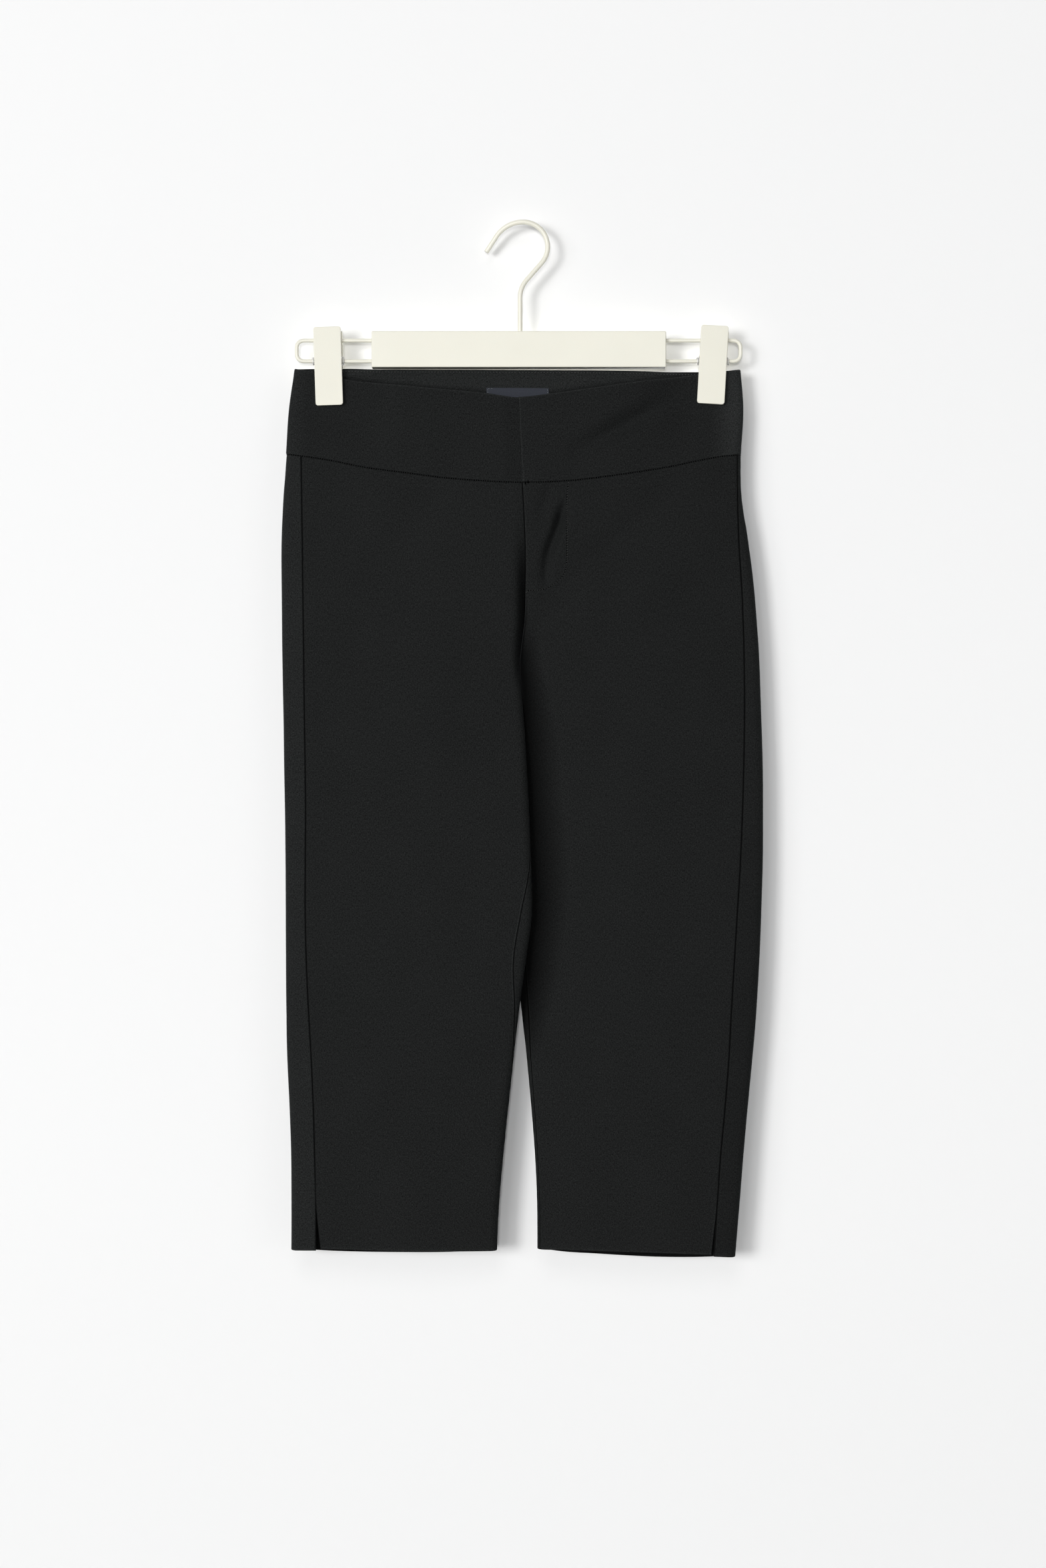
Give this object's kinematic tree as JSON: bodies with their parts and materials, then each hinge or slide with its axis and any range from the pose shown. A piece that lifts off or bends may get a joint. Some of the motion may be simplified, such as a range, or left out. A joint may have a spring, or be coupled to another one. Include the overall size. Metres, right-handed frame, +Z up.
{
  "type": "capri pants on a clip hanger",
  "caption": "Women's plain black capri pants with a wide waistband, fly front and side slits at the hems, hung by the waist from a cream clip hanger.",
  "frame": {"origin": "underside of the hook's top, where the hanger hangs", "axes": "+Z up the pants' length, -Y the front of the pants, +X the wearer's left"},
  "size_m": [0.3921, 0.0382, 0.8456],
  "materials": {
    "cloth": "matte black stretch suiting with a fine weave",
    "zip": "black zip tape",
    "label": "bare navy satin label",
    "plastic": "satin cream moulded plastic",
    "coating": "cream coated steel wire",
    "steel": "plain spring steel"
  },
  "bodies": {
    "root": {"front_right": "cloth", "front_left": "cloth", "back_right": "cloth", "back_left": "cloth", "waistband_right": "cloth", "waistband_left": "cloth", "fly_shield": "cloth", "fly_zip": "zip", "label": "label", "hook_wire": "coating", "loop_wire_right": "coating", "loop_wire_left": "coating", "bar_block": "plastic", "clip_right_front": "plastic", "clip_right_back": "plastic", "clip_left_front": "plastic", "clip_left_back": "plastic", "clip_right_spring": "steel", "clip_left_spring": "steel"}
  },
  "joints": []
}
